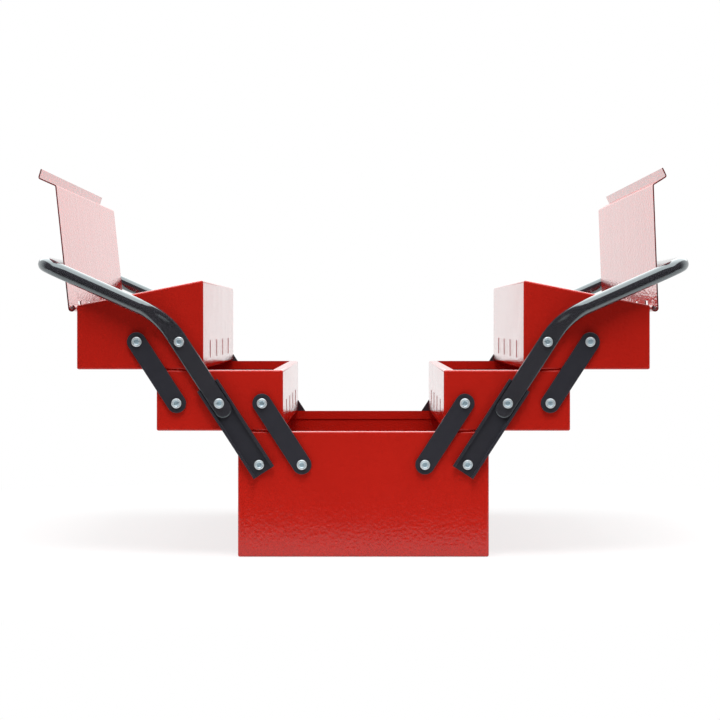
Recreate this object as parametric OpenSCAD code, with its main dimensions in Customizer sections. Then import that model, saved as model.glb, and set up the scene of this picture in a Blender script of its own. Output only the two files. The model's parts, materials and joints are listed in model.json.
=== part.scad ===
// Cantilever tool box of folded sheet steel, standing open.
// A deep base carries two lower trays and two upper trays on levers and short links,
// a bent tube handle on each side works the levers, and a lid closes each upper tray.
// X runs across the box, Y along it and Z up. The origin is under the middle of the base.

/* [Box] */
// Length of the base, the trays and the lids
box_len = 530; // [420:5:620]
// Width of the base
base_w = 200; // [190:1:230]
// Height of the base
base_h = 100; // [85:1:130]

/* [Trays] */
// Height of a lower tray
lower_h = 48.5; // [44:0.5:56]
// Height of an upper tray at its outer wall
upper_h = 51.2; // [46:0.2:60]
// Slope of an upper tray's rim and of its closed lid, in degrees
lid_slope = 11.3; // [8:0.1:13]
// Gap between the closed left and right trays
centre_gap = 1; // [0.6:0.1:2]
// Overhang of the closed trays beyond each side of the base
overhang = 1.3; // [0:0.1:2.5]
// Gap under each tray where it lies over the rim below
stack_gap = 0.4; // [0.3:0.05:1]

/* [Sheet metal] */
// Thickness of the sheet
sheet = 1; // [0.8:0.05:1.2]
// Outside radius of the folds
fold_r = 2; // [1.6:0.1:3]
// Width of the rim folded inwards along the long walls
rim_w = 8; // [6:0.5:10]
// Depth of the hem folded down inside each end wall
hem_h = 8; // [5:0.5:12]
// Width of the welding laps that turn in from each end panel
lap_w = 12; // [8:1:20]

/* [Dividers] */
// Number of dividers in each tray
divider_count = 4; // [2:1:6]
// Height of a divider
divider_h = 30; // [26:1:36]
// Thickness of a divider
divider_t = 1; // [0.8:0.1:1.2]
// Height of the slots in the long walls
slot_h = 15; // [10:0.5:16]
// Height of the slots above the underside of the tray
slot_up = 8; // [5:0.5:9]
// Clearance of a divider in its slots and between the walls
divider_clear = 0.3; // [0.2:0.05:0.5]
// Distance by which the tabs of a divider stand out of their slots
tab_out = 0.3; // [0:0.05:0.35]

/* [Levers and links] */
// Lean of the open levers from upright, in degrees
lever_lean = 33; // [30:0.5:36]
// Height of the tray pivots above the underside of a tray
pivot_up = 22; // [20:0.5:24]
// Distance of the base's lever pivot from the side of the base
lever_in = 17; // [14:0.5:20]
// Distance between a lever pivot and a link pivot on one tray
pivot_gap = 34; // [30:0.5:36]
// Width of the channel that makes the lower part of a lever
channel_w = 19.3; // [18.6:0.1:22]
// Depth of the channel
channel_d = 5; // [4.6:0.1:6.5]
// Thickness of the channel's web and flanges
channel_t = 2; // [1.6:0.1:2.2]
// Length of the channel beyond its base pivot
channel_foot = 7.3; // [6:0.1:10]
// Length of the channel beyond its lower tray pivot
channel_head = 17.3; // [13:0.1:20]
// Width of a short link
link_w = 15.4; // [13:0.1:17]
// Thickness of a short link
link_t = 2; // [1.6:0.1:2.4]

/* [Handles] */
// Diameter of the handle tube
tube_d = 12; // [11:0.5:13]
// Width of the flattened end of the tube
flat_w = 14.6; // [13.6:0.1:14.6]
// Thickness of the flattened end of the tube
flat_t = 2.6; // [2:0.1:3]
// Length of the flattened end below the lower tray pivot
flat_tail = 12.5; // [10:0.1:14]
// Depth of the hollow pressed into the tube where it turns flat
press_dip = 1.6; // [0.5:0.1:2.2]
// Step that the press leaves at both ends of the pressed stretch
press_step = 0.1; // [0.1:0.02:0.2]
// Distance from the upper tray pivot to the start of the bend above it
bend_up = 4.6; // [3:0.1:8]
// Radius of that bend
arm_bend_r = 65; // [50:1:80]
// Radius of the handle's two corners
corner_r = 18; // [14:1:26]
// Height of the closed handle's bar above the upper tray pivots
bar_up = 123.5; // [112:0.5:140]
// Gap between the two handles when they are closed
grip_gap = 1; // [0.6:0.1:3]

/* [Lids] */
// Lean of the open left lid beyond upright, in degrees
lean_left = 6.1; // [-4:0.1:8]
// Lean of the open right lid beyond upright, in degrees, where a lean back over the box is negative
lean_right = -2.2; // [-4:0.1:8]
// Distance of the ridge's foot from the inner wall of the tray
ridge_in = 8.4; // [8:0.1:10]
// Height of the ridge along the right lid, over which the left one closes
ridge_right = 12.4; // [11:0.1:13]
// Width of the lip along each ridge
lip_w = 7.5; // [6:0.1:7.6]
// Gap between the left lid's lip and the right one's under it when both are closed
lap_gap = 0.4; // [0.3:0.05:1]
// Turn of the ridge from the lid's panel, in degrees
ridge_turn = 60; // [55:1:65]
// Turn of the lip back from the ridge, in degrees
lip_turn = 83; // [78:1:88]
// Clearance between a closed lid and the end walls of its tray
lid_clear = 0.3; // [0.25:0.05:0.6]

/* [Lid hinges] */
// Diameter of the hinge pin
pin_d = 3.4; // [2.6:0.1:3.6]
// Distance of the hinge pin from the outer wall of the tray
pin_out = 4; // [3.6:0.1:4.8]
// Distance of the pin's ends from the ends of the box
pin_inset = 3; // [1:0.5:8]
// Number of rolled tongues on each upper tray
tongue_count = 5; // [3:1:8]
// Width of a rolled tongue
tongue_w = 22; // [16:1:30]
// Gap between a tongue and the window that it fills in the lid
window_gap = 0.5; // [0.3:0.1:1]
// Running clearance round the hinge pin
pin_clear = 0.1; // [0.05:0.05:0.15]

/* [Rivets and washers] */
// Diameter of a rivet's shank
shank_d = 5; // [4:0.1:6]
// Diameter of the rolled collar that shows outside
collar_d = 8; // [7.6:0.1:9]
// Height of the rolled collar
collar_h = 1.8; // [1.4:0.1:2.2]
// Diameter of the hollow in the middle of the collar
dish_d = 3.8; // [3.2:0.1:4]
// Thickness left under the hollow
dish_floor = 0.4; // [0.2:0.1:0.8]
// Diameter of the flat head inside the box
head_d = 9.5; // [8:0.1:11]
// Thickness of the flat head
head_h = 1.4; // [1:0.1:2]
// Outside diameter of a washer
washer_d = 12; // [10:0.5:13]
// Thickness of a washer
washer_t = 0.8; // [0.5:0.05:1.2]
// Running clearance round a rivet's shank
bore_clear = 0.1; // [0.05:0.05:0.2]
// Play of a link or lever along its rivet, on each side
side_play = 0.15; // [0.1:0.05:0.3]

/* [Hidden] */

red_paint = "#ae1e15";
black_paint = "#2c2c30";
zinc_plate = "#b4c0c6";

// Overrun of every cut
over = 1;
// Segments round a large circle, a small one and a pressed tube section
large_fn = 72;
small_fn = 36;
section_fn = 36;
// Rings along the stretch where the tube turns from flat to round
press_rings = 14;
// Steps round each fold of a folded sheet
fold_steps = 8;

// Trays
tray_w = (base_w - centre_gap) / 2 + overhang;
rise = lower_h + stack_gap;
swing = 2 * rise * tan(lever_lean);
lower_z = base_h + stack_gap;
upper_z = lower_z + rise;
lower_x = -base_w / 2 - overhang - swing;
upper_x = lower_x - swing;

// Lever pivots, from the outer walls of the lower tray and the upper tray
lever_at_lower = overhang + lever_in + swing / 2;
lever_at_upper = overhang + lever_in + swing;
pitch = rise / cos(lever_lean);
base_pivot_z = lower_z + pivot_up - rise;
lever_dir = 90 + lever_lean;

// Layers on an end face, outwards
plate_in = washer_t + side_play;
channel_out = plate_in + channel_t;
link_stack = plate_in + link_t + side_play;
channel_stack = channel_out + side_play;
arm_stack = channel_out + flat_t + side_play;
spacer_t = channel_out - side_play;

// Handle, in the lever's own frame: x runs up the lever from its base pivot, y to the left of that
arm_shift = tray_w + centre_gap / 2 - lever_at_upper - (tube_d + grip_gap) / 2;
bar_at = [2 * pitch + arm_shift * sin(lever_lean) + bar_up * cos(lever_lean),
          bar_up * sin(lever_lean) - arm_shift * cos(lever_lean)];
bend_start = 2 * pitch + bend_up;
bar_from_bend = bar_at - [bend_start, arm_bend_r];
// Turn of the bend after which the arm runs straight to the bar
arm_turn = acos(-arm_bend_r / norm(bar_from_bend)) - atan2(bar_from_bend[0], bar_from_bend[1]);
bend_end = [bend_start + arm_bend_r * sin(arm_turn), arm_bend_r * (1 - cos(arm_turn))];
arm_len = norm(bar_at - bend_end) - corner_r;
tube_mid = channel_out + tube_d / 2;

// Lid hinge
barrel_in = pin_d / 2 + pin_clear;
barrel_out = barrel_in + sheet;
pin_z = upper_z + upper_h - (barrel_in - lid_clear + pin_out * sin(lid_slope)) / cos(lid_slope);
pin_x = upper_x - pin_out;
panel_len = (pin_out + tray_w - ridge_in) / cos(lid_slope);
window_in = pin_out + fold_r + window_gap;

// Ridges of the closed lids: the left one is higher, so that its lip clears the right one's
ridge_foot_x = centre_gap / 2 + ridge_in + (barrel_in + sheet / 2) * sin(lid_slope);
lip_fall = lip_turn - ridge_turn - lid_slope;
ridge_left = (
    ridge_right * sin(lip_turn) + lip_w * sin(2 * lip_fall) + sheet * cos(lip_fall) * cos(lip_fall)
    - 2 * ridge_foot_x * sin(lip_fall) + lap_gap
) / sin(lip_turn - 2 * lip_fall);

// Places along the length that share it out evenly
function spread(count) = [for (i = [1 : count]) box_len * (i / (count + 1) - 1 / 2)];
// Height of a rim at a place across the tray
function rim_z(h, slope, x) = h + x * tan(slope);
// Direction at an angle
function heading(a) = [cos(a), sin(a)];
// Same direction with a length of one
function unit(v) = v / norm(v);
// Half of the angle at a corner
function half_angle(before, at, after) = acos(unit(before - at) * unit(after - at)) / 2;
// The two points at which a rounded corner meets its sides
function corner_ends(before, at, after, r) =
    let (run = r / tan(half_angle(before, at, after)))
    [at + run * unit(before - at), at + run * unit(after - at)];
// Centre of a rounded corner
function corner_mid(before, at, after, r) =
    at + r / sin(half_angle(before, at, after)) * unit(unit(before - at) + unit(after - at));
// Angle of one run of a path
function run_dir(path, i) = atan2(path[i + 1][1] - path[i][1], path[i + 1][0] - path[i][0]);
// Turn of a path at a point, between -180 and 180 degrees
function turn_at(path, i) = (run_dir(path, i) - run_dir(path, i - 1) + 540) % 360 - 180;
// Points along one side of a fold whose middle has radius r
function fold_side(path, i, side, r) =
    let (
        back = run_dir(path, i - 1),
        turn = turn_at(path, i),
        hand = sign(turn),
        mid = path[i] - r * tan(abs(turn) / 2) * heading(back) + hand * r * heading(back + 90)
    )
    [
        for (k = [0 : fold_steps])
            mid + (r - hand * side) * heading(back - hand * 90 + turn * k / fold_steps)
    ];
// Points along one side of a folded sheet, at a distance to the left of its middle
function strip_side(path, side, r) =
    let (last = len(path) - 1)
    concat(
        [path[0] + side * heading(run_dir(path, 0) + 90)],
        [for (i = [1 : last - 1]) each fold_side(path, i, side, r)],
        [path[last] + side * heading(run_dir(path, last - 1) + 90)]
    );

// Convex outline whose corners are all rounded alike
module rounded_outline(corners, r) {
    n = len(corners);
    polygon([
        for (i = [0 : n - 1])
            each corner_ends(corners[(i + n - 1) % n], corners[i], corners[(i + 1) % n], r)
    ]);
    for (i = [0 : n - 1])
        translate(corner_mid(corners[(i + n - 1) % n], corners[i], corners[(i + 1) % n], r))
            circle(r = r, $fn = small_fn);
}

// Sheet of thickness t folded along a path with rounded folds, seen from its end
module folded_strip(path, t, r) {
    left = strip_side(path, t / 2, r);
    polygon(concat(strip_side(path, -t / 2, r), [for (i = [len(left) - 1 : -1 : 0]) left[i]]));
}

// Puts a drawing of the box's end view upright, growing towards the front
module upright() {
    rotate([90, 0, 0])
        children();
}

// Puts a piece on the front end face, growing outwards from a place in the end view
module on_front(x, z) {
    translate([x, -box_len / 2, z])
        upright()
            children();
}

// Same piece again on the rear end face
module on_both_ends() {
    children();
    mirror([0, 1, 0])
        children();
}

// Left-hand piece put on the right
module on_right() {
    mirror([1, 0, 0])
        children();
}

// Cross-section of a pan with its rim, all drawn in by one distance
module pan_section(w, h, slope, inset) {
    drop = inset / cos(slope);
    rounded_outline(
        [
            [inset, inset],
            [w - inset, inset],
            [w - inset, rim_z(h, slope, w - inset) - drop],
            [inset, rim_z(h, slope, inset) - drop]
        ],
        fold_r - inset
    );
}

// Solid form of a pan with rounded edges all over, drawn in by one distance
module pan_form(w, h, slope, inset) {
    top = rim_z(h, slope, w);
    half = box_len / 2 - inset;
    r = fold_r - inset;
    intersection() {
        upright()
            linear_extrude(2 * half, center = true)
                pan_section(w, h, slope, inset);
        linear_extrude(top)
            rounded_outline([[inset, -half], [w - inset, -half], [w - inset, half], [inset, half]], r);
        rotate([90, 0, 90])
            linear_extrude(w)
                rounded_outline([[-half, inset], [half, inset], [half, 2 * top], [-half, 2 * top]], r);
        translate([0, 0, h])
            rotate([0, -slope, 0])
                rotate([90, 0, 90])
                    translate([0, -inset])
                        linear_extrude(4 * w, center = true)
                            rounded_outline([[-half, -2 * top], [half, -2 * top], [half, 0], [-half, 0]], r);
    }
}

// Mouth between the rims of the long walls
module pan_mouth(w, h, slope) {
    top = rim_z(h, slope, w);
    length = box_len - 2 * sheet;
    translate([rim_w, -length / 2, h / 2])
        cube([w - 2 * rim_w, length, top - h / 2 + over]);
}

// What each end panel folds into the pan: a hem under the rim and welding laps at the sides and floor
module end_folds(w, h, slope) {
    wall_top = rim_z(h, slope, sheet) - hem_h;
    far_top = rim_z(h, slope, w - sheet) - hem_h;
    on_both_ends()
        translate([0, -box_len / 2 + sheet, 0]) {
            translate([0, sheet, 0])
                upright()
                    linear_extrude(sheet)
                        polygon([
                            [sheet, wall_top],
                            [w - sheet, far_top],
                            [w - sheet, far_top + 2 * hem_h],
                            [sheet, wall_top + 2 * hem_h]
                        ]);
            cube([w, lap_w, 2 * sheet]);
            cube([2 * sheet, lap_w, wall_top]);
            translate([w - 2 * sheet, 0, 0])
                cube([2 * sheet, lap_w, far_top]);
        }
}

// Open pan folded from sheet, with its outer wall at x = 0 and its floor at z = 0
module pan(w, h, slope) {
    difference() {
        pan_form(w, h, slope, 0);
        difference() {
            union() {
                pan_form(w, h, slope, sheet);
                pan_mouth(w, h, slope);
            }
            end_folds(w, h, slope);
        }
    }
}

// Rivet holes through both end walls at one height
module rivet_holes(places, z) {
    for (x = places)
        translate([x, 0, z])
            upright()
                cylinder(d = shank_d + 2 * bore_clear, h = box_len + 2 * over, center = true, $fn = small_fn);
}

// Slots through both long walls for the tabs of the dividers
module divider_slots() {
    for (y = spread(divider_count))
        translate([-over, y - divider_t / 2 - divider_clear, slot_up])
            cube([tray_w + 2 * over, divider_t + 2 * divider_clear, slot_h]);
}

// Sheet with its edge rolled round the hinge pin, seen from its end
module rolled_sheet() {
    difference() {
        union() {
            circle(r = barrel_out, $fn = small_fn);
            children();
        }
        circle(r = barrel_in, $fn = small_fn);
        translate([0, -barrel_in / 2])
            square([barrel_out + over, 3 * barrel_in / 2]);
    }
}

// Tongues that reach out from the outer rim of an upper tray and roll round the hinge pin
module hinge_tongues() {
    for (y = spread(tongue_count))
        translate([-pin_out, y, pin_z - upper_z])
            upright()
                linear_extrude(tongue_w, center = true)
                    rolled_sheet()
                        translate([0, barrel_in])
                            square([pin_out + fold_r, sheet]);
}

module base_pan() {
    color(red_paint)
        difference() {
            translate([-base_w / 2, 0, 0])
                pan(base_w, base_h, 0);
            for (side = [-1, 1])
                rivet_holes([for (d = [0, pivot_gap]) side * (base_w / 2 - lever_in - d)], base_pivot_z);
        }
}

module lower_tray() {
    color(red_paint)
        translate([lower_x, 0, lower_z])
            difference() {
                pan(tray_w, lower_h, 0);
                rivet_holes([for (d = [-pivot_gap, 0, pivot_gap]) lever_at_lower + d], pivot_up);
                divider_slots();
            }
}

module upper_tray() {
    color(red_paint)
        translate([upper_x, 0, upper_z]) {
            difference() {
                pan(tray_w, upper_h, lid_slope);
                rivet_holes([for (d = [-pivot_gap, 0]) lever_at_upper + d], pivot_up);
                divider_slots();
            }
            hinge_tongues();
        }
}

// Dividers of one tray, each with a tab in the slot at both of its sides
module dividers(x, z) {
    side = sheet + divider_clear;
    color(red_paint)
        for (y = spread(divider_count))
            translate([x, y, z])
                upright()
                    linear_extrude(divider_t, center = true) {
                        rounded_outline(
                            [
                                [side, sheet],
                                [tray_w - side, sheet],
                                [tray_w - side, divider_h],
                                [side, divider_h]
                            ],
                            fold_r
                        );
                        translate([-tab_out, slot_up + divider_clear])
                            square([tray_w + 2 * tab_out, slot_h - 2 * divider_clear]);
                    }
}

// Lid in its closed position along x, hinged at the origin
module lid_sheet(ridge) {
    mid = barrel_in + sheet / 2;
    ridge_foot = [panel_len, mid];
    ridge_top = ridge_foot + ridge * heading(ridge_turn);
    lip_end = ridge_top + lip_w * heading(ridge_turn - lip_turn);
    difference() {
        upright()
            linear_extrude(box_len, center = true)
                rolled_sheet()
                    folded_strip([[0, mid], ridge_foot, ridge_top, lip_end], sheet, fold_r - sheet / 2);
        for (y = spread(tongue_count))
            translate([-barrel_out - over, y - tongue_w / 2 - window_gap, -barrel_out - over])
                cube([
                    barrel_out + over + window_in,
                    tongue_w + 2 * window_gap,
                    2 * (barrel_out + over)
                ]);
    }
}

// Lid standing open at its lean
module lid(ridge, lean) {
    color(red_paint)
        translate([pin_x, 0, pin_z])
            rotate([0, -90 - lean, 0])
                lid_sheet(ridge);
}

module hinge_pin() {
    color(zinc_plate)
        translate([pin_x, 0, pin_z])
            upright()
                cylinder(d = pin_d, h = box_len - 2 * pin_inset, center = true, $fn = small_fn);
}

// Puts a piece drawn along the lever on the left front end face
module on_lever() {
    on_front(-base_w / 2 + lever_in, base_pivot_z)
        rotate(lever_dir)
            children();
}

// Bore for a rivet at a place along a lever or link
module shank_bore(along) {
    translate([along, 0, 0])
        cylinder(d = shank_d + 2 * bore_clear, h = 2 * tube_d, $fn = small_fn);
}

// Channel of a lever, open outwards, with square ends
module lever_channel() {
    web = channel_w / 2 - channel_t / 2;
    back = plate_in + channel_t / 2;
    front = plate_in + channel_d;
    color(black_paint)
        on_lever()
            difference() {
                translate([-channel_foot, 0, 0])
                    rotate([90, 0, 90])
                        linear_extrude(channel_foot + pitch + channel_head)
                            folded_strip(
                                [[-web, front], [-web, back], [web, back], [web, front]],
                                channel_t,
                                channel_t
                            );
                shank_bore(0);
                shank_bore(pitch);
            }
}

// Half sizes of the tube's section, and its hollow, at a share of the way from flat to round
function press_size(share) =
    let (s = share * share * (3 - 2 * share))
    [
        flat_w / 2 + (tube_d - flat_w) / 2 * s - press_step,
        flat_t / 2 + (tube_d - flat_t) / 2 * s - press_step,
        press_dip * 4 * s * (1 - s)
    ];

// Point of a slot-shaped outline with half sizes a and b, a distance d round it from its right end
function slot_point(a, b, d) =
    let (quarter = PI * b / 2, flat = 2 * (a - b), half = 2 * quarter + flat)
    d > half ? -slot_point(a, b, d - half)
    : d < quarter ? [a - b, 0] + b * heading(d / quarter * 90)
    : d <= quarter + flat ? [a - b - (d - quarter), b]
    : [b - a, 0] + b * heading(90 + (d - quarter - flat) / quarter * 90);

// Outline of the tube at a share of the way, with its inner face on the lever's channel
function press_section(share) =
    let (size = press_size(share), a = size[0], b = size[1], round = 2 * PI * b + 4 * (a - b))
    [
        for (i = [0 : section_fn - 1])
            let (
                p = slot_point(a, b, i / section_fn * round),
                hollow = p[1] > 0 ? size[2] * (1 + cos(180 * p[0] / a)) / 2 : 0
            )
            [p[0], channel_out + press_step + b + p[1] - hollow]
    ];

// Stretch of the tube that bends towards the grip while it turns from flat to round
module pressed_bend() {
    points = [
        for (k = [0 : press_rings])
            let (turn = arm_turn * k / press_rings)
            for (p = press_section(k / press_rings))
                [
                    bend_start + (arm_bend_r - p[0]) * sin(turn),
                    arm_bend_r - (arm_bend_r - p[0]) * cos(turn),
                    p[1]
                ]
    ];
    last = press_rings * section_fn;
    sides = [
        for (k = [0 : press_rings - 1])
            for (i = [0 : section_fn - 1])
                let (
                    a = k * section_fn + i,
                    b = k * section_fn + (i + 1) % section_fn,
                    c = a + section_fn,
                    d = b + section_fn
                )
                each [[a, d, b], [a, c, d]]
    ];
    polyhedron(
        points,
        concat(
            [[for (i = [0 : section_fn - 1]) i]],
            sides,
            [[for (i = [section_fn - 1 : -1 : 0]) last + i]]
        )
    );
}

// Half of the flattened tube's section, with its round edge to the right
module half_flat() {
    edge = flat_t / 2;
    square([flat_w / 2 - edge, flat_t]);
    translate([flat_w / 2 - edge, edge])
        circle(r = edge, $fn = small_fn);
}

// Flattened end of the tube, which lies in the channel and carries two rivet bores
module flat_end() {
    from = pitch - flat_tail + flat_w / 2;
    difference() {
        translate([from, 0, channel_out]) {
            rotate_extrude($fn = large_fn)
                half_flat();
            rotate([90, 0, 90])
                linear_extrude(bend_start - from + press_step) {
                    half_flat();
                    mirror([1, 0])
                        half_flat();
                }
        }
        shank_bore(pitch);
        shank_bore(2 * pitch);
    }
}

// Straight arms, corners and bar of the handle, in the frame of the arms
module handle_hoop() {
    bar_len = box_len + 2 * (tube_mid - corner_r);
    translate([0, 0, -box_len / 2])
        for (side = [-1, 1])
            translate([0, 0, side * (bar_len / 2 + corner_r)])
                translate([-press_step, 0, 0])
                    rotate([0, 90, 0])
                        cylinder(d = tube_d, h = arm_len + press_step, $fn = large_fn);
    translate([arm_len, 0, -box_len / 2]) {
        for (side = [0, 1])
            mirror([0, 0, side])
                translate([0, 0, bar_len / 2])
                    rotate([90, 0, 0])
                        rotate_extrude(angle = 90, $fn = large_fn)
                            translate([corner_r, 0])
                                circle(d = tube_d, $fn = large_fn);
        translate([corner_r, 0, 0])
            cylinder(d = tube_d, h = bar_len, center = true, $fn = large_fn);
    }
}

module handle_tube() {
    color(black_paint)
        on_lever() {
            for (side = [0, 1])
                translate([0, 0, -side * box_len])
                    mirror([0, 0, side]) {
                        flat_end();
                        pressed_bend();
                    }
            translate([bend_end[0], bend_end[1], 0])
                rotate([0, 0, arm_turn])
                    handle_hoop();
        }
}

// Short link from a pivot on the end face, parallel to the lever
module short_link(x, z) {
    color(black_paint)
        on_front(x, z)
            rotate(lever_dir)
                difference() {
                    translate([0, 0, plate_in])
                        linear_extrude(link_t) {
                            circle(d = link_w, $fn = large_fn);
                            translate([pitch, 0])
                                circle(d = link_w, $fn = large_fn);
                            translate([0, -link_w / 2])
                                square([pitch, link_w]);
                        }
                    shank_bore(0);
                    shank_bore(pitch);
                }
}

module lower_link() {
    short_link(-base_w / 2 + lever_in + pivot_gap, base_pivot_z);
}

module upper_link() {
    short_link(lower_x + lever_at_lower - pivot_gap, lower_z + pivot_up);
}

// Rivet through an end wall, its flat head inside and its rolled collar a stack's height outside
module rivet(stack) {
    bead = collar_h / 2;
    shank_r = shank_d / 2;
    collar_r = collar_d / 2;
    dish_r = dish_d / 2;
    rotate_extrude($fn = small_fn)
        union() {
            translate([0, -sheet - head_h])
                polygon([
                    [0, 0],
                    [head_d / 2 - head_h / 2, 0],
                    [head_d / 2, head_h / 2],
                    [head_d / 2, head_h],
                    [0, head_h]
                ]);
            translate([0, -sheet])
                square([shank_r, sheet + stack + dish_floor]);
            translate([dish_r, stack])
                square([collar_r - bead - dish_r, bead]);
            translate([dish_r + bead, stack])
                square([collar_r - dish_r - 2 * bead, collar_h]);
            translate([dish_r + bead, stack + bead])
                circle(r = bead, $fn = small_fn);
            translate([collar_r - bead, stack + bead])
                circle(r = bead, $fn = small_fn);
        }
}

// Washer or spacer between an end wall and what turns on the rivet
module washer(t) {
    linear_extrude(t)
        difference() {
            circle(d = washer_d, $fn = small_fn);
            circle(d = shank_d + 2 * bore_clear, $fn = small_fn);
        }
}

// Rivets of the base on one side: lever pivot and link pivot
module base_rivets_side() {
    on_front(-base_w / 2 + lever_in, base_pivot_z)
        rivet(channel_stack);
    on_front(-base_w / 2 + lever_in + pivot_gap, base_pivot_z)
        rivet(link_stack);
}

module base_washers_side() {
    for (d = [0, pivot_gap])
        on_front(-base_w / 2 + lever_in + d, base_pivot_z)
            washer(washer_t);
}

module base_rivets() {
    color(zinc_plate)
        on_both_ends() {
            base_rivets_side();
            on_right()
                base_rivets_side();
        }
}

module base_washers() {
    color(zinc_plate)
        on_both_ends() {
            base_washers_side();
            on_right()
                base_washers_side();
        }
}

module lower_tray_rivets() {
    color(zinc_plate)
        on_both_ends() {
            on_front(lower_x + lever_at_lower, lower_z + pivot_up)
                rivet(arm_stack);
            for (d = [-pivot_gap, pivot_gap])
                on_front(lower_x + lever_at_lower + d, lower_z + pivot_up)
                    rivet(link_stack);
        }
}

module lower_tray_washers() {
    color(zinc_plate)
        on_both_ends()
            for (d = [-pivot_gap, 0, pivot_gap])
                on_front(lower_x + lever_at_lower + d, lower_z + pivot_up)
                    washer(washer_t);
}

module upper_tray_rivets() {
    color(zinc_plate)
        on_both_ends() {
            on_front(upper_x + lever_at_upper, upper_z + pivot_up)
                rivet(arm_stack);
            on_front(upper_x + lever_at_upper - pivot_gap, upper_z + pivot_up)
                rivet(link_stack);
        }
}

module upper_tray_washers() {
    color(zinc_plate)
        on_both_ends() {
            on_front(upper_x + lever_at_upper, upper_z + pivot_up)
                washer(spacer_t);
            on_front(upper_x + lever_at_upper - pivot_gap, upper_z + pivot_up)
                washer(washer_t);
        }
}

// Front piece put at the rear
module at_rear() {
    mirror([0, 1, 0])
        children();
}

base_pan();
lower_tray();  // lower_tray_left
on_right() lower_tray();  // lower_tray_right
upper_tray();  // upper_tray_left
on_right() upper_tray();  // upper_tray_right
lid(ridge_left, lean_left);  // lid_left
on_right() lid(ridge_right, lean_right);  // lid_right
hinge_pin();  // hinge_pin_left
on_right() hinge_pin();  // hinge_pin_right
dividers(lower_x, lower_z);  // lower_dividers_left
on_right() dividers(lower_x, lower_z);  // lower_dividers_right
dividers(upper_x, upper_z);  // upper_dividers_left
on_right() dividers(upper_x, upper_z);  // upper_dividers_right
handle_tube();  // handle_tube_left
on_right() handle_tube();  // handle_tube_right
lever_channel();  // lever_channel_front_left
at_rear() lever_channel();  // lever_channel_rear_left
on_right() lever_channel();  // lever_channel_front_right
on_right() at_rear() lever_channel();  // lever_channel_rear_right
lower_link();  // lower_link_front_left
at_rear() lower_link();  // lower_link_rear_left
on_right() lower_link();  // lower_link_front_right
on_right() at_rear() lower_link();  // lower_link_rear_right
upper_link();  // upper_link_front_left
at_rear() upper_link();  // upper_link_rear_left
on_right() upper_link();  // upper_link_front_right
on_right() at_rear() upper_link();  // upper_link_rear_right
base_rivets();
lower_tray_rivets();  // lower_tray_rivets_left
on_right() lower_tray_rivets();  // lower_tray_rivets_right
upper_tray_rivets();  // upper_tray_rivets_left
on_right() upper_tray_rivets();  // upper_tray_rivets_right
base_washers();
lower_tray_washers();  // lower_tray_washers_left
on_right() lower_tray_washers();  // lower_tray_washers_right
upper_tray_washers();  // upper_tray_washers_left
on_right() upper_tray_washers();  // upper_tray_washers_right
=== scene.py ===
"""Looks of a cantilever tool box that stands open.

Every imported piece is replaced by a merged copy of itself, whose faces get their finish. Bars and
fasteners get rounded edges, and folds are shaded smooth. A studio with a pale floor and soft lamps
shows the box as the photograph does.
"""

from __future__ import annotations

import json
import logging
import math
from dataclasses import dataclass
from enum import Enum
from typing import Any

import bpy
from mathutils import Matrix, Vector

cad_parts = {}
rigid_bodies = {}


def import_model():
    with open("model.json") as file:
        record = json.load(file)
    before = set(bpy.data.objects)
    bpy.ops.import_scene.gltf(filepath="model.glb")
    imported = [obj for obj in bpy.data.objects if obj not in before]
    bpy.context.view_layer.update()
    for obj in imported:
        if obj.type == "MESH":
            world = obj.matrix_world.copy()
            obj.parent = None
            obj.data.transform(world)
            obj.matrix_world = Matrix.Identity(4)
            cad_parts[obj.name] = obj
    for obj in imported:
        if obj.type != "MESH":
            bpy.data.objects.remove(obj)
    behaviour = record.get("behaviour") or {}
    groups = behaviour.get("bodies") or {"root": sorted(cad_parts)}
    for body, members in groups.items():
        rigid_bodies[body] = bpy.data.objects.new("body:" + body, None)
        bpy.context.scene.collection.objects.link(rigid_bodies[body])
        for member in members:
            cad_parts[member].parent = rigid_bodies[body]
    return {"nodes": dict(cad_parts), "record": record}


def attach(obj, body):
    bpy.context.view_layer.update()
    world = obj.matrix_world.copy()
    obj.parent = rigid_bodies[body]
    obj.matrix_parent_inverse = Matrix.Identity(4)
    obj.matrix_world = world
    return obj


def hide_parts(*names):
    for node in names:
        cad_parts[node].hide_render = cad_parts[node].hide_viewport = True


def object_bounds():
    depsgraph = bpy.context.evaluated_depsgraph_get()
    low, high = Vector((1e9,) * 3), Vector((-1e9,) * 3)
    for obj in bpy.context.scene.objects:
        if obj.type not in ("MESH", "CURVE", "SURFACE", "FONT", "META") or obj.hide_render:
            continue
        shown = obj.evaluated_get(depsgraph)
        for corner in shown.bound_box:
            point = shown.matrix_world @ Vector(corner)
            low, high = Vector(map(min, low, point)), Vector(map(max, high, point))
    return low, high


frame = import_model()
CAD_LOW, CAD_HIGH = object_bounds()

BODY_OF = {
    node: body
    for body, nodes in frame["record"]["behaviour"]["bodies"].items()
    for node in nodes
}

MM = 0.001

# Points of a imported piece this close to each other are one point, and faces this level are one face
WELD_MM = 0.001
FLAT_DEG = 0.2

# Sockets of a Mix node: its share, its two numbers, its two colours, and the colour that it gives
SHARE, NUMBER_A, NUMBER_B, COLOUR_A, COLOUR_B = 0, 2, 3, 6, 7
MIXED_COLOUR = 2

SMOOTH_STEP = {"interpolation_type": "SMOOTHSTEP"}
COLOUR_MIX = {"data_type": "RGBA"}

log = logging.getLogger("tool_box")


class Side(Enum):
    """Side of the box that a piece belongs to, seen from the camera."""

    LEFT = "left"
    RIGHT = "right"

    @property
    def inward(self) -> int:
        """Sign of X towards the middle of the box."""
        return 1 if self is Side.LEFT else -1


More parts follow.
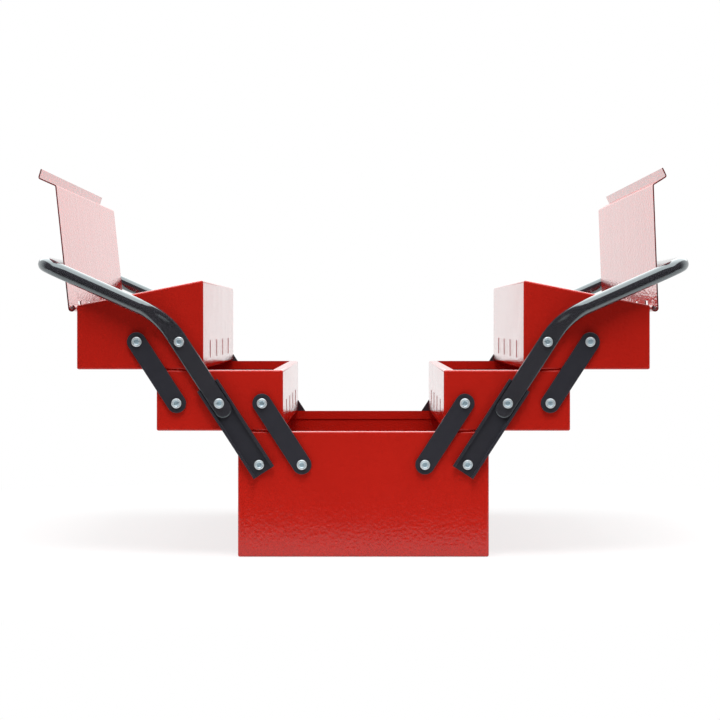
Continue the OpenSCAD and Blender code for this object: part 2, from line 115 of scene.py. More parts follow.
def linear(hex_colour: str) -> tuple[float, float, float, float]:
    """Turns an sRGB colour to the linear one that shaders take.

    Args:
        hex_colour: Colour such as "#ae1e15".

    Returns:
        Red, green, blue and an alpha of 1.
    """
    digits = hex_colour.lstrip("#")
    shares = [int(digits[i : i + 2], 16) / 255 for i in (0, 2, 4)]
    parts = [s / 12.92 if s <= 0.04045 else ((s + 0.055) / 1.055) ** 2.4 for s in shares]
    return (parts[0], parts[1], parts[2], 1.0)


def add_node(
    tree: bpy.types.NodeTree,
    kind: str,
    settings: dict[str, Any] | None = None,
    values: dict[Any, Any] | None = None,
    links: dict[Any, bpy.types.NodeSocket] | None = None,
) -> bpy.types.Node:
    """Adds one node with its settings, its constant inputs and its links.

    Args:
        tree: Node tree that gets the node.
        kind: Node type, such as "ShaderNodeBump".
        settings: Properties of the node.
        values: Constants, by the input's name or number.
        links: Output sockets, by the name or number of the input that they feed.

    Returns:
        The new node.
    """
    node = tree.nodes.new(kind)
    for name, value in (settings or {}).items():
        setattr(node, name, value)
    for key, value in (values or {}).items():
        node.inputs[key].default_value = value
    for key, socket in (links or {}).items():
        tree.links.new(socket, node.inputs[key])
    return node


def new_material(name: str) -> tuple[bpy.types.Material, bpy.types.NodeTree, bpy.types.NodeSocket]:
    """Makes an empty node material.

    Args:
        name: The finish's name.

    Returns:
        The material, its node tree and the Object coordinates.
    """
    material = bpy.data.materials.new(name)
    material.use_nodes = True
    tree = material.node_tree
    tree.nodes.clear()
    coords = add_node(tree, "ShaderNodeTexCoord")
    return material, tree, coords.outputs["Object"]


def per_metre(size_mm: float) -> float:
    """Scale of a noise whose features are about that many millimetres apart."""
    return 1 / (size_mm * MM)


@dataclass(frozen=True)
class PowderPaint:
    """Polyester powder paint, sprayed and baked on sheet steel.

    It gives a clear gloss that turns nearly white at a flat angle, broken by a fine orange peel and by
    the long soft waves of thin sheet. The peel's pitch of about 2 mm is usual for such paint and wasn't
    measured. It is drawn several times higher than such peel is, to show from the camera.

    Attributes:
        name: The finish's name.
        colour: Its palest colour.
        deep_colour: Its darkest colour.
        roughness: Mean roughness of the gloss.
        rough_spread: How far the roughness changes from place to place.
        peel_mm: Distance between the peel's crests.
        peel_height_mm: Height of the peel.
        peel_along_share: Less than 1 draws the peel longer along the box.
        wave_mm: Distance between the sheet's waves.
        wave_height_mm: Height of the waves.
        wave_upright_share: Less than 1 draws the waves taller.
        cloud_mm: Size of the patches in which colour and roughness change.
        ior: Index of refraction.
    """

    name: str = "red_powder_paint"
    colour: str = "#b01e14"
    deep_colour: str = "#a31a12"
    roughness: float = 0.1
    rough_spread: float = 0.04
    peel_mm: float = 2.2
    peel_height_mm: float = 0.16
    peel_along_share: float = 1.0
    wave_mm: float = 36.0
    wave_height_mm: float = 0.22
    wave_upright_share: float = 0.3
    cloud_mm: float = 45.0
    ior: float = 1.5

    def material(self) -> bpy.types.Material:
        """Builds the paint's nodes."""
        material, tree, place = new_material(self.name)
        cloud = add_node(
            tree,
            "ShaderNodeTexNoise",
            values={"Scale": per_metre(self.cloud_mm), "Detail": 3.0},
            links={"Vector": place},
        )
        along = add_node(
            tree,
            "ShaderNodeMapping",
            values={"Scale": (1.0, self.peel_along_share, 1.0)},
            links={"Vector": place},
        )
        peel = add_node(
            tree,
            "ShaderNodeTexNoise",
            values={"Scale": per_metre(self.peel_mm), "Detail": 1.0, "Roughness": 0.4},
            links={"Vector": along.outputs["Vector"]},
        )
        tall = add_node(
            tree,
            "ShaderNodeMapping",
            values={"Scale": (1.0, 1.0, self.wave_upright_share)},
            links={"Vector": place},
        )
        wave = add_node(
            tree,
            "ShaderNodeTexNoise",
            values={"Scale": per_metre(self.wave_mm), "Detail": 1.0},
            links={"Vector": tall.outputs["Vector"]},
        )
        tone = add_node(
            tree,
            "ShaderNodeMix",
            settings=COLOUR_MIX,
            values={COLOUR_A: linear(self.deep_colour), COLOUR_B: linear(self.colour)},
            links={SHARE: cloud.outputs["Fac"]},
        )
        rough = add_node(
            tree,
            "ShaderNodeMapRange",
            values={
                "To Min": self.roughness - self.rough_spread / 2,
                "To Max": self.roughness + self.rough_spread / 2,
            },
            links={"Value": cloud.outputs["Fac"]},
        )
        waved = add_node(
            tree,
            "ShaderNodeBump",
            values={"Distance": self.wave_height_mm * MM},
            links={"Height": wave.outputs["Fac"]},
        )
        peeled = add_node(
            tree,
            "ShaderNodeBump",
            values={"Distance": self.peel_height_mm * MM},
            links={"Height": peel.outputs["Fac"], "Normal": waved.outputs["Normal"]},
        )
        shader = add_node(
            tree,
            "ShaderNodeBsdfPrincipled",
            values={"IOR": self.ior},
            links={
                "Base Color": tone.outputs[MIXED_COLOUR],
                "Roughness": rough.outputs["Result"],
                "Normal": peeled.outputs["Normal"],
            },
        )
        add_node(tree, "ShaderNodeOutputMaterial", links={"Surface": shader.outputs["BSDF"]})
        return material


@dataclass(frozen=True)
class BlackEnamel:
    """Stoved black enamel, dipped or sprayed on flat steel and tube.

    It gives a blue-black with the faint mottle and ripple of a thin coat, satin on the stamped bars and
    glossy on the tube.

    Attributes:
        name: The finish's name.
        colour: Its colour.
        pale_colour: Its colour where the mottle is palest.
        roughness: Mean roughness of the gloss.
        ior: Index of refraction.
        gloss_tint: Tint of what it mirrors. A cool tint here is painted light: it stands for the colour
            of the light, not of the enamel.
        rough_spread: How far the roughness changes from place to place.
        mottle_mm: Size of the mottle's patches.
        peel_mm: Distance between the ripple's crests.
        peel_height_mm: Height of the ripple.
    """

    name: str
    colour: str
    pale_colour: str
    roughness: float
    ior: float
    gloss_tint: str = "#ffffff"
    rough_spread: float = 0.1
    mottle_mm: float = 5.0
    peel_mm: float = 1.4
    peel_height_mm: float = 0.006

    def material(self) -> bpy.types.Material:
        """Builds the enamel's nodes."""
        material, tree, place = new_material(self.name)
        mottle = add_node(
            tree,
            "ShaderNodeTexNoise",
            values={"Scale": per_metre(self.mottle_mm), "Detail": 4.0, "Roughness": 0.6},
            links={"Vector": place},
        )
        peel = add_node(
            tree,
            "ShaderNodeTexNoise",
            values={"Scale": per_metre(self.peel_mm), "Detail": 1.0},
            links={"Vector": place},
        )
        tone = add_node(
            tree,
            "ShaderNodeMix",
            settings=COLOUR_MIX,
            values={COLOUR_A: linear(self.colour), COLOUR_B: linear(self.pale_colour)},
            links={SHARE: mottle.outputs["Fac"]},
        )
        rough = add_node(
            tree,
            "ShaderNodeMapRange",
            values={
                "To Min": self.roughness - self.rough_spread / 2,
                "To Max": self.roughness + self.rough_spread / 2,
            },
            links={"Value": mottle.outputs["Fac"]},
        )
        bump = add_node(
            tree,
            "ShaderNodeBump",
            values={"Distance": self.peel_height_mm * MM},
            links={"Height": peel.outputs["Fac"]},
        )
        shader = add_node(
            tree,
            "ShaderNodeBsdfPrincipled",
            values={"IOR": self.ior, "Specular Tint": linear(self.gloss_tint)},
            links={
                "Base Color": tone.outputs[MIXED_COLOUR],
                "Roughness": rough.outputs["Result"],
                "Normal": bump.outputs["Normal"],
            },
        )
        add_node(tree, "ShaderNodeOutputMaterial", links={"Surface": shader.outputs["BSDF"]})
        return material


@dataclass(frozen=True)
class ZincPlate:
    """Bright zinc plate on cold-formed steel.

    It gives a bluish metal, soft rather than mirror bright, with a fine cloudiness. Its share of metal
    is below that of bare metal, which is 1, and was matched to the photograph.

    Attributes:
        name: The finish's name.
        colour: Its colour.
        dull_colour: Its colour where it is cloudiest.
        roughness: Mean roughness of the metal.
        rough_spread: How far the roughness changes from place to place.
        metal_share: How metallic it looks, from 0 to 1.
        cloud_mm: Size of the cloudy patches.
    """

    name: str = "bright_zinc_plate"
    colour: str = "#eef5f8"
    dull_colour: str = "#d0dce1"
    roughness: float = 0.36
    rough_spread: float = 0.16
    metal_share: float = 0.6
    cloud_mm: float = 1.6

    def material(self) -> bpy.types.Material:
        """Builds the plating's nodes."""
        material, tree, place = new_material(self.name)
        cloud = add_node(
            tree,
            "ShaderNodeTexNoise",
            values={"Scale": per_metre(self.cloud_mm), "Detail": 3.0},
            links={"Vector": place},
        )
        tone = add_node(
            tree,
            "ShaderNodeMix",
            settings=COLOUR_MIX,
            values={COLOUR_A: linear(self.dull_colour), COLOUR_B: linear(self.colour)},
            links={SHARE: cloud.outputs["Fac"]},
        )
        rough = add_node(
            tree,
            "ShaderNodeMapRange",
            values={
                "To Min": self.roughness - self.rough_spread / 2,
                "To Max": self.roughness + self.rough_spread / 2,
            },
            links={"Value": cloud.outputs["Fac"]},
        )
        shader = add_node(
            tree,
            "ShaderNodeBsdfPrincipled",
            values={"Metallic": self.metal_share},
            links={
                "Base Color": tone.outputs[MIXED_COLOUR],
                "Roughness": rough.outputs["Result"],
            },
        )
        add_node(tree, "ShaderNodeOutputMaterial", links={"Surface": shader.outputs["BSDF"]})
        return material


@dataclass(frozen=True)
class Lamp:
    """One soft square lamp that faces the middle of the box.

    Attributes:
        name: The lamp's name.
        place_mm: Where it hangs.
        size_mm: Side of its square.
        radiance: Its brightness, where 1 is that of a white backdrop.
    """

    name: str
    place_mm: tuple[float, float, float]
    size_mm: float
    radiance: float

    def hang(self) -> None:
        """Hangs the lamp. It lights the box but isn't mirrored in it."""
        data = bpy.data.lights.new(self.name, "AREA")
        data.size = self.size_mm * MM
        data.energy = self.radiance * math.pi * (self.size_mm * MM) ** 2
        lamp = bpy.data.objects.new(self.name, data)
        lamp.location = Vector(self.place_mm) * MM
        middle = (CAD_LOW + CAD_HIGH) / 2
        lamp.rotation_euler = (middle - lamp.location).to_track_quat("-Z", "Y").to_euler()
        lamp.visible_glossy = False
        bpy.context.scene.collection.objects.link(lamp)


@dataclass(frozen=True)
class Studio:
    """Pale floor, soft light and the camera at the photograph's place.

    A direction's X, Y and Z run from -1 to 1, with Y towards the backdrop. A brightness of 1 is white.

    Attributes:
        picture_px: Side of the square picture.
        sensor_mm: Side of the camera's sensor.
        lens_mm: Focal length.
        camera_back_mm: Distance from the camera to the middle of the box. The photograph gives only its
            ratio to the box's length, so it rests on the length that was assumed.
        camera_up_mm: Height of the camera.
        shift_right_px: How far the box stands right of the picture's middle.
        shift_up_px: How far the camera's level stands above the picture's middle.
        far_clip_m: Distance beyond which the camera sees nothing.
        floor_radius_mm: Radius of the round floor.
        floor_steps: Number of its sides.
        floor_drop_mm: Its depth below the base, so that the two don't share a plane.
        floor_albedo: Share of the light that the floor scatters.
        shadow_share: How much of the floor's shading the camera sees near the box.
        shadow_fade_m: Distances from the middle between which that fades to plain white.
        bounce_fade_m: Places in front of the box between which the floor gets pale to matt surfaces.
        mirror_fade_m: Places in front of the box between which it gets white to glossy surfaces.
        dark: Brightness of the room behind the camera.
        mirrored_white: Brightness of the backdrop in glossy surfaces.
        mirrored_fade: Directions in Y between which the dark room turns to that.
        fill_level: Brightness of the room for matt surfaces.
        backdrop_light: Brightness of the backdrop for matt surfaces.
        backdrop_reach: Direction in Y from which the backdrop sheds all of it.
        softbox_level: Brightness of the softbox overhead in glossy surfaces.
        softbox_way: Direction of its middle.
        softbox_rim: Shares of that direction between which it starts.
        softbox_sides: Directions in X between which it ends on either side.
        lamps: The soft lamps.
    """

    picture_px: float = 720.0
    sensor_mm: float = 36.0
    lens_mm: float = 144.2
    camera_back_mm: float = 2562.0
    camera_up_mm: float = 187.6
    shift_right_px: float = 3.4
    shift_up_px: float = 38.6
    far_clip_m: float = 50.0
    floor_radius_mm: float = 1100.0
    floor_steps: int = 96
    floor_drop_mm: float = 0.3
    floor_albedo: float = 0.9
    shadow_share: float = 0.22
    shadow_fade_m: tuple[float, float] = (0.42, 0.8)
    bounce_fade_m: tuple[float, float] = (-0.78, -0.36)
    mirror_fade_m: tuple[float, float] = (-0.55, -0.31)
    dark: float = 0.03
    mirrored_white: float = 1.08
    mirrored_fade: tuple[float, float] = (-0.1, 0.6)
    fill_level: float = 0.14
    backdrop_light: float = 0.9
    backdrop_reach: float = 0.7
    softbox_level: float = 2.6
    softbox_way: tuple[float, float, float] = (0.0, 0.3, 1.0)
    softbox_rim: tuple[float, float] = (0.45, 0.6)
    softbox_sides: tuple[float, float] = (0.5, 0.65)
    lamps: tuple[Lamp, ...] = (
        Lamp("key_lamp", (0.0, -1500.0, 2100.0), 1000.0, 12.3),
        Lamp("top_lamp", (0.0, -100.0, 1700.0), 2000.0, 2.4),
        Lamp("left_lamp", (-1500.0, -500.0, 1500.0), 1200.0, 3.0),
        Lamp("right_lamp", (1500.0, -500.0, 1500.0), 1200.0, 3.0),
    )

    def camera(self) -> None:
        """Puts the camera level in front of the box, with the frame shifted as in the photograph."""
        data = bpy.data.cameras.new("camera")
        data.lens = self.lens_mm
        data.sensor_width = self.sensor_mm
        data.shift_x = -self.shift_right_px / self.picture_px
        data.shift_y = -self.shift_up_px / self.picture_px
        data.clip_end = self.far_clip_m
        camera = bpy.data.objects.new("camera", data)
        camera.location = (0.0, -self.camera_back_mm * MM, self.camera_up_mm * MM)
        camera.rotation_euler = (math.radians(90), 0.0, 0.0)
        bpy.context.scene.collection.objects.link(camera)
        bpy.context.scene.camera = camera

    def world(self) -> None:
        """Puts a white backdrop behind the box, a dim room in front of it and a softbox above."""
        world = bpy.data.worlds.new("studio")
        bpy.context.scene.world = world
        world.use_nodes = True
        tree = world.node_tree
        tree.nodes.clear()
        coords = add_node(tree, "ShaderNodeTexCoord")
        way = coords.outputs["Generated"]
        split = add_node(tree, "ShaderNodeSeparateXYZ", links={0: way})
        mirrored = self.mirrored_room(tree, way, split)
        shed = add_node(
            tree,
            "ShaderNodeMapRange",
            values={
                "From Min": 0.0,
                "From Max": self.backdrop_reach,
                "To Min": self.fill_level,
                "To Max": self.backdrop_light,
            },
            links={"Value": split.outputs["Y"]},
        )
        path = add_node(tree, "ShaderNodeLightPath")
        seen = add_node(
            tree,
            "ShaderNodeMath",
            settings={"operation": "MAXIMUM"},
            links={0: path.outputs["Is Camera Ray"], 1: path.outputs["Is Transmission Ray"]},
        )
        lit = add_node(
            tree,
            "ShaderNodeMix",
            links={
                SHARE: path.outputs["Is Glossy Ray"],
                NUMBER_A: shed.outputs["Result"],
                NUMBER_B: mirrored,
            },
        )
        level = add_node(
            tree,
            "ShaderNodeMix",
            values={NUMBER_B: 1.0},
            links={SHARE: seen.outputs[0], NUMBER_A: lit.outputs[0]},
        )
        back = add_node(
            tree,
            "ShaderNodeBackground",
            values={"Color": linear("#ffffff")},
            links={"Strength": level.outputs[0]},
        )
        add_node(tree, "ShaderNodeOutputWorld", links={"Surface": back.outputs[0]})

    def mirrored_room(
        self, tree: bpy.types.NodeTree, way: bpy.types.NodeSocket, split: bpy.types.Node
    ) -> bpy.types.NodeSocket:
        """Makes the room that glossy surfaces mirror, with a softbox of finite width overhead.

        Args:
            tree: The world's nodes.
            way: The direction.
            split: The direction's X, Y and Z.

        Returns:
            The room's brightness in that direction.
        """
        room = add_node(
            tree,
            "ShaderNodeMapRange",
            settings=SMOOTH_STEP,
            values={
                "From Min": self.mirrored_fade[0],
                "From Max": self.mirrored_fade[1],
                "To Min": self.dark,
                "To Max": self.mirrored_white,
            },
            links={"Value": split.outputs["Y"]},
        )
        aloft = add_node(
            tree,
            "ShaderNodeVectorMath",
            settings={"operation": "DOT_PRODUCT"},
            values={1: self.softbox_way},
            links={0: way},
        )
        softbox = add_node(
            tree,
            "ShaderNodeMapRange",
            settings=SMOOTH_STEP,
            values={
                "From Min": self.softbox_rim[0],
                "From Max": self.softbox_rim[1],
                "To Min": 0.0,
                "To Max": self.softbox_level,
            },
            links={"Value": aloft.outputs["Value"]},
        )
        aside = add_node(
            tree,
            "ShaderNodeMath",
            settings={"operation": "ABSOLUTE"},
            links={0: split.outputs["X"]},
        )
        within = add_node(
            tree,
            "ShaderNodeMapRange",
            settings=SMOOTH_STEP,
            values={
                "From Min": self.softbox_sides[0],
                "From Max": self.softbox_sides[1],
                "To Min": 1.0,
                "To Max": 0.0,
            },
            links={"Value": aside.outputs[0]},
        )
        mirrored = add_node(
            tree,
            "ShaderNodeMath",
            settings={"operation": "MULTIPLY_ADD"},
            links={
                0: softbox.outputs["Result"],
                1: within.outputs["Result"],
                2: room.outputs["Result"],
            },
        )
        return mirrored.outputs[0]

    def floor(self) -> None:
        """Lays a pale floor that keeps the shadow near the box and fades to the backdrop's white."""
        bpy.ops.object.select_all(action="DESELECT")
        bpy.ops.mesh.primitive_circle_add(
            vertices=self.floor_steps,
            radius=self.floor_radius_mm * MM,
            fill_type="NGON",
            location=(0.0, 0.0, -self.floor_drop_mm * MM),
        )
        floor = bpy.context.object
        floor.name = "floor"
        bpy.ops.object.transform_apply(location=True)
        material, tree, place = new_material("pale_floor")
        path = add_node(tree, "ShaderNodeLightPath")
        split = add_node(tree, "ShaderNodeSeparateXYZ", links={0: place})
        matt = self.matt_floor(tree, path, split)
        white = self.white_floor(tree, path, split)
        share = self.white_share(tree, path, place)
        mix = add_node(
            tree,
            "ShaderNodeMixShader",
            links={0: share, 1: matt.outputs[0], 2: white.outputs[0]},
        )
        add_node(tree, "ShaderNodeOutputMaterial", links={"Surface": mix.outputs[0]})
        floor.data.materials.append(material)

    def matt_floor(
        self, tree: bpy.types.NodeTree, path: bpy.types.Node, split: bpy.types.Node
    ) -> bpy.types.Node:
        """Makes the floor that takes shadows and throws light up at the box.

        Args:
            tree: The floor's nodes.
            path: Its Light Path.
            split: The place's X, Y and Z.

        Returns:
            A matt shader, darker far in front of the box except to the camera.
        """
        front = add_node(
            tree,
            "ShaderNodeMapRange",
            settings=SMOOTH_STEP,
            values={
                "From Min": self.bounce_fade_m[0],
                "From Max": self.bounce_fade_m[1],
                "To Min": self.dark,
                "To Max": 1.0,
            },
            links={"Value": split.outputs["Y"]},
        )
        laid = add_node(
            tree,
            "ShaderNodeMath",
            settings={"operation": "MAXIMUM"},
            links={0: path.outputs["Is Camera Ray"], 1: front.outputs["Result"]},
        )
        tone = add_node(
            tree,
            "ShaderNodeMath",
            settings={"operation": "MULTIPLY"},
            values={1: self.floor_albedo},
            links={0: laid.outputs[0]},
        )
        return add_node(tree, "ShaderNodeBsdfDiffuse", links={"Color": tone.outputs[0]})

    def white_floor(
        self, tree: bpy.types.NodeTree, path: bpy.types.Node, split: bpy.types.Node
    ) -> bpy.types.Node:
        """Makes the floor's plain white, which is all that glossy surfaces see of it.

        Args:
            tree: The floor's nodes.
            path: Its Light Path.
            split: The place's X, Y and Z.

        Returns:
            A glowing shader, dark to glossy surfaces far in front of the box.
        """
        near = add_node(
            tree,
            "ShaderNodeMapRange",
            settings=SMOOTH_STEP,
            values={
                "From Min": self.mirror_fade_m[0],
                "From Max": self.mirror_fade_m[1],
                "To Min": self.dark,
                "To Max": 1.0,
            },
            links={"Value": split.outputs["Y"]},
        )
        strength = add_node(
            tree,
            "ShaderNodeMix",
            values={NUMBER_A: 1.0},
            links={SHARE: path.outputs["Is Glossy Ray"], NUMBER_B: near.outputs["Result"]},
        )
        return add_node(tree, "ShaderNodeEmission", links={"Strength": strength.outputs[0]})

    def white_share(
        self, tree: bpy.types.NodeTree, path: bpy.types.Node, place: bpy.types.NodeSocket
    ) -> bpy.types.NodeSocket:
        """Shares the floor between its plain white and its shading.

        Args:
            tree: The floor's nodes.
            path: Its Light Path.
            place: The Object coordinates.

        Returns:
            Share of the plain white: all to glossy surfaces, most to the camera and none to matt ones.
        """
        length = add_node(
            tree, "ShaderNodeVectorMath", settings={"operation": "LENGTH"}, links={0: place}
        )
        fade = add_node(
            tree,
            "ShaderNodeMapRange",
            settings=SMOOTH_STEP,
            values={"From Min": self.shadow_fade_m[0], "From Max": self.shadow_fade_m[1]},
            links={"Value": length.outputs["Value"]},
        )
        pale = add_node(
            tree,
            "ShaderNodeMapRange",
            values={"To Min": 1.0 - self.shadow_share, "To Max": 1.0},
            links={"Value": fade.outputs["Result"]},
        )
        seen = add_node(
            tree,
            "ShaderNodeMath",
            settings={"operation": "MULTIPLY"},
            links={0: path.outputs["Is Camera Ray"], 1: pale.outputs["Result"]},
        )
        share = add_node(
            tree,
            "ShaderNodeMath",
            settings={"operation": "MAXIMUM"},
            links={0: seen.outputs[0], 1: path.outputs["Is Glossy Ray"]},
        )
        return share.outputs[0]

    def build(self) -> None:
        """Sets up the whole studio."""
        bpy.context.scene.view_settings.view_transform = "Standard"
        self.camera()
        self.world()
        for lamp in self.lamps:
            lamp.hang()
        self.floor()


def select_only(piece: bpy.types.Object) -> None:
    """Selects one object and no others, and makes it active.

    Args:
        piece: The object.
    """
    bpy.ops.object.select_all(action="DESELECT")
    piece.select_set(True)
    bpy.context.view_layer.objects.active = piece


def named(*words: str) -> list[str]:
    """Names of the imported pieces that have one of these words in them."""
    return sorted(n for n in frame["nodes"] if any(w in n for w in words))


def merged_copy(node: str, piece_name: str) -> bpy.types.Object:
    """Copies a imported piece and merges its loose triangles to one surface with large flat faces.

    Args:
        node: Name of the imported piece.
        piece_name: Name of the copy.

    Returns:
        The copy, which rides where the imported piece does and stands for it.
    """
    source = frame["nodes"][node]
    body = BODY_OF[node]
    select_only(source)
    bpy.ops.object.duplicate()
    copy = bpy.context.object
    copy.name = piece_name
    bpy.ops.object.parent_clear(type="CLEAR_KEEP_TRANSFORM")
    for key in [k for k in copy.keys() if k.startswith("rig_")]:
        del copy[key]
    bpy.ops.mesh.customdata_custom_splitnormals_clear()
    bpy.ops.object.mode_set(mode="EDIT")
    bpy.ops.mesh.select_all(action="SELECT")
    bpy.ops.mesh.remove_doubles(threshold=WELD_MM * MM)
    bpy.ops.mesh.dissolve_limited(angle_limit=math.radians(FLAT_DEG))
    bpy.ops.object.mode_set(mode="OBJECT")
    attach(copy, body)
    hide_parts(node)
    return copy


def soften(piece: bpy.types.Object, width_mm: float, angle_deg: float) -> None:
    """Rounds a piece's sharp edges a little, as a stamping die or a coat of paint does.

    Args:
        piece: The piece.
        width_mm: Width of the rounding.
        angle_deg: Least angle between two faces at which their edge counts as sharp.
    """
    select_only(piece)
    bevel = piece.modifiers.new("soft_edges", "BEVEL")
    bevel.width = width_mm * MM
    bevel.segments = 2
    bevel.limit_method = "ANGLE"
    bevel.angle_limit = math.radians(angle_deg)
    bevel.use_clamp_overlap = True
    bevel.miter_outer = "MITER_ARC"
    bpy.ops.object.modifier_apply(modifier=bevel.name)


def smooth(piece: bpy.types.Object, angle_deg: float) -> None:
    """Shades a piece smooth across edges blunter than an angle.

    Args:
        piece: The piece.
        angle_deg: The angle between two faces.
    """
    select_only(piece)
    bpy.ops.object.shade_smooth_by_angle(angle=math.radians(angle_deg), keep_sharp_edges=False)


def dress(piece: bpy.types.Object, material: bpy.types.Material) -> None:
    """Gives a piece its finish.

    Args:
        piece: The piece.
        material: The finish.
    """
    piece.data.materials.clear()
    piece.data.materials.append(material)


@dataclass
class SheetMetal:
    """Base, trays, dividers and lids of folded steel sheet in red powder paint.

    Attributes:
        paint: Paint of every sheet.
        painted_light_inner_paint: Paler copy of the paint on the lids' inner faces, which is painted
            light for the extra light that falls on them.
        edge_paint: Darker, duller paint on the lids' sheared ends.
        fold_angle_deg: Angle up to which a fold is shaded smooth.
        edge_facing: Least share of Y in the way that a sheared end faces.
        inner_facing: Least share of X, towards the middle, in the way that an inner face faces.
    """

    paint: PowderPaint
    painted_light_inner_paint: PowderPaint
    edge_paint: PowderPaint
    fold_angle_deg: float = 32.0
    edge_facing: float = 0.7
    inner_facing: float = 0.2

    def build(self) -> None:
        """Smooths the folds of every sheet and paints it."""
        red = self.paint.material()
        for node in named("pan", "tray_left", "tray_right", "dividers"):
            sheet = merged_copy(node, f"{node}_sheet")
            smooth(sheet, self.fold_angle_deg)
            dress(sheet, red)
        self.build_lids(red)

    def build_lids(self, red: bpy.types.Material) -> None:
        """Paints both lids, with darker, duller paint on their sheared ends and a paler copy of the
        paint on their inner faces, which is painted light.

        Args:
            red: The paint of their outer faces.
        """
        # The sheared ends get a darker, duller paint, and the inner faces a paler copy of the paint,
        # which is painted light
        thin, inner = self.edge_paint.material(), self.painted_light_inner_paint.material()
        for side in Side:
            lid = merged_copy(f"lid_{side.value}", f"lid_{side.value}_sheet")
            smooth(lid, self.fold_angle_deg)
            dress(lid, red)
            lid.data.materials.append(thin)
            lid.data.materials.append(inner)
            for face in lid.data.polygons:
                if abs(face.normal.y) > self.edge_facing:
                    face.material_index = 1
                elif face.normal.x * side.inward > self.inner_facing:
                    # Inner faces get the paler copy of the paint: painted light
                    face.material_index = 2


@dataclass
class Linkage:
    """Lever channels and short links, stamped from flat steel and enamelled satin black.

    Attributes:
        enamel: Their finish.
        edge_mm: Rounding that the stamping die leaves on their edges.
        sharp_deg: Least angle between two faces that gets it.
        fold_angle_deg: Angle up to which an edge is shaded smooth.
    """

    enamel: BlackEnamel
    edge_mm: float = 0.45
    sharp_deg: float = 50.0
    fold_angle_deg: float = 20.0

    def build(self) -> None:
        """Rounds the stamped edges of every channel and link and enamels it."""
        satin = self.enamel.material()
        for node in named("link", "channel"):
            bar = merged_copy(node, f"{node}_bar")
            soften(bar, self.edge_mm, self.sharp_deg)
            smooth(bar, self.fold_angle_deg)
            dress(bar, satin)


@dataclass
class Handles:
    """Bent tube handles whose ends are pressed flat, in gloss black enamel.

    Attributes:
        enamel: Their finish.
        fold_angle_deg: Angle up to which an edge is shaded smooth.
    """

    enamel: BlackEnamel
    fold_angle_deg: float = 38.0

    def build(self) -> None:
        """Smooths both tubes and enamels them."""
        gloss = self.enamel.material()
        for side in Side:
            tube = merged_copy(f"handle_tube_{side.value}", f"handle_{side.value}_tube")
            smooth(tube, self.fold_angle_deg)
            dress(tube, gloss)


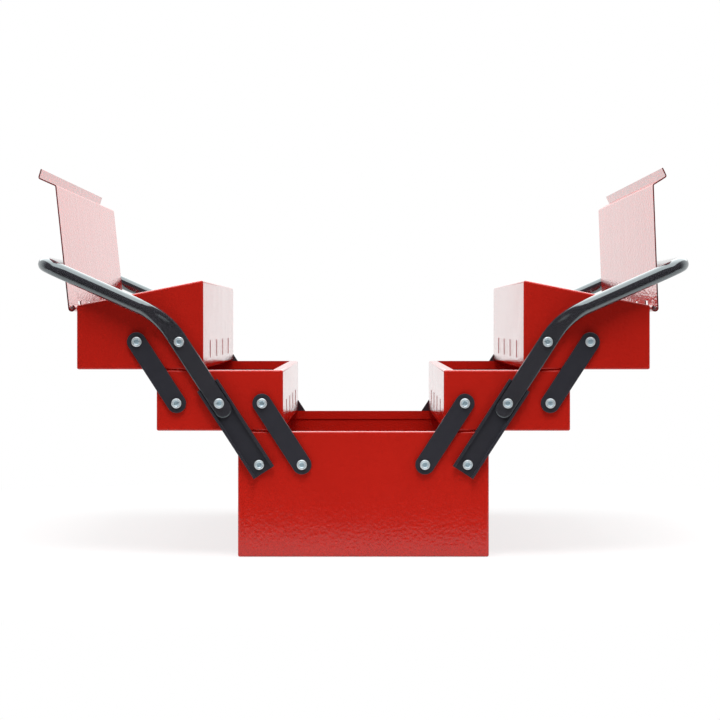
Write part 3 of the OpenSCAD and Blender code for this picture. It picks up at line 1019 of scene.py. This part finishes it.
@dataclass
class Fasteners:
    """Rivets, washers and hinge pins in bright zinc.

    Attributes:
        plate: Their finish.
        shaded_hollow_plate: Darker, bluer and rougher copy of the plating in the hollow of each rivet's
            collar; its darkness is painted shade.
        hollow_area_mm2: Least and most area of a hollow's flat bottom.
        hollow_facing: Least share of Y in the way that a bottom faces.
        hollow_reach_mm: Distance from a bottom's middle to which the hollow's painted shade goes.
        hollow_depth_mm: Depth within which it does.
        edge_mm: Rounding of the edges.
        sharp_deg: Least angle between two faces that gets it.
        smooth_deg: Angle up to which an edge is shaded smooth.
    """

    plate: ZincPlate
    shaded_hollow_plate: ZincPlate
    hollow_area_mm2: tuple[float, float] = (7.0, 12.5)
    hollow_facing: float = 0.9
    hollow_reach_mm: float = 2.0
    hollow_depth_mm: float = 2.5
    edge_mm: float = 0.12
    sharp_deg: float = 60.0
    smooth_deg: float = 50.0

    def build(self) -> None:
        """Rounds the edges of every rivet, washer and pin and plates them."""
        zinc = self.plate.material()
        # The hollows get a darker copy of the plating: painted shade
        hollow_shade = self.shaded_hollow_plate.material()
        for node in named("rivets", "washers", "pin"):
            piece = merged_copy(node, f"{node}_plated")
            soften(piece, self.edge_mm, self.sharp_deg)
            smooth(piece, self.smooth_deg)
            dress(piece, zinc)
            if "rivets" in node:
                self.shade_hollows(piece, hollow_shade)

    def shade_hollows(self, rivets: bpy.types.Object, hollow_shade: bpy.types.Material) -> None:
        """Paints shade into the hollow of each rivet's collar, with a darker, rougher copy of the
        plating.

        Args:
            rivets: The rivets of one body.
            hollow_shade: The darker, rougher copy of the plating, whose darkness is painted shade.
        """
        rivets.data.materials.append(hollow_shade)
        least, most = (area * MM * MM for area in self.hollow_area_mm2)
        bottoms = [
            face.center.copy()
            for face in rivets.data.polygons
            if abs(face.normal.y) > self.hollow_facing and least < face.area < most
        ]
        reach = self.hollow_reach_mm * MM
        depth = self.hollow_depth_mm * MM
        # Faces in a hollow get the darker copy: painted shade
        for face in rivets.data.polygons:
            ways = [face.center - bottom for bottom in bottoms]
            inside = any(math.hypot(w.x, w.z) < reach and abs(w.y) < depth for w in ways)
            face.material_index = int(inside)
        log.info("%s has %d hollows", rivets.name, len(bottoms))


def main() -> None:
    """Builds the studio and dresses the tool box, piece by piece."""
    logging.basicConfig(level=logging.INFO, format="%(message)s")
    Studio().build()
    SheetMetal(
        paint=PowderPaint(),
        # The inner faces get a paler copy of the paint, which is painted light for the extra light that
        # falls on them, and a softer mirror. Their peel is drawn higher than on the other sheets and
        # about three times longer along the box, to show at a flat angle.
        painted_light_inner_paint=PowderPaint(
            "red_powder_paint_inside_lids_painted_light",
            "#cc281c",
            "#be2318",
            peel_height_mm=0.3,
            peel_along_share=0.3,
            ior=1.42,
        ),
        # The sheared ends are drawn darker and duller than the faces
        edge_paint=PowderPaint("red_powder_paint_on_edges", "#701618", "#541214", roughness=0.4),
    ).build()
    # Satin enamel shows flat steel as an even blue-black with hardly a highlight
    Linkage(BlackEnamel("satin_black_enamel", "#29292f", "#2f2f35", roughness=0.3, ior=1.45)).build()
    # Gloss enamel on the tube mirrors the softbox as a pale band, with a cool tint that is painted
    # light for the colour of the light. Its index is far above the usual 1.5 or so of enamel, and was
    # raised until that band came near the photograph's.
    Handles(
        BlackEnamel(
            "gloss_black_enamel",
            "#2d2c31",
            "#333237",
            roughness=0.08,
            ior=2.3,
            # Cool tint of the mirrored light: painted light
            gloss_tint="#eafafc",
        )
    ).build()
    Fasteners(
        plate=ZincPlate(),
        # The hollow in each collar is drawn darker and bluer as painted shade in the recess, and
        # rougher
        shaded_hollow_plate=ZincPlate("zinc_plate_painted_shade_in_hollows", "#d2e8f2", "#bcd3de", roughness=0.5),
    ).build()


if __name__ == "__main__":
    main()
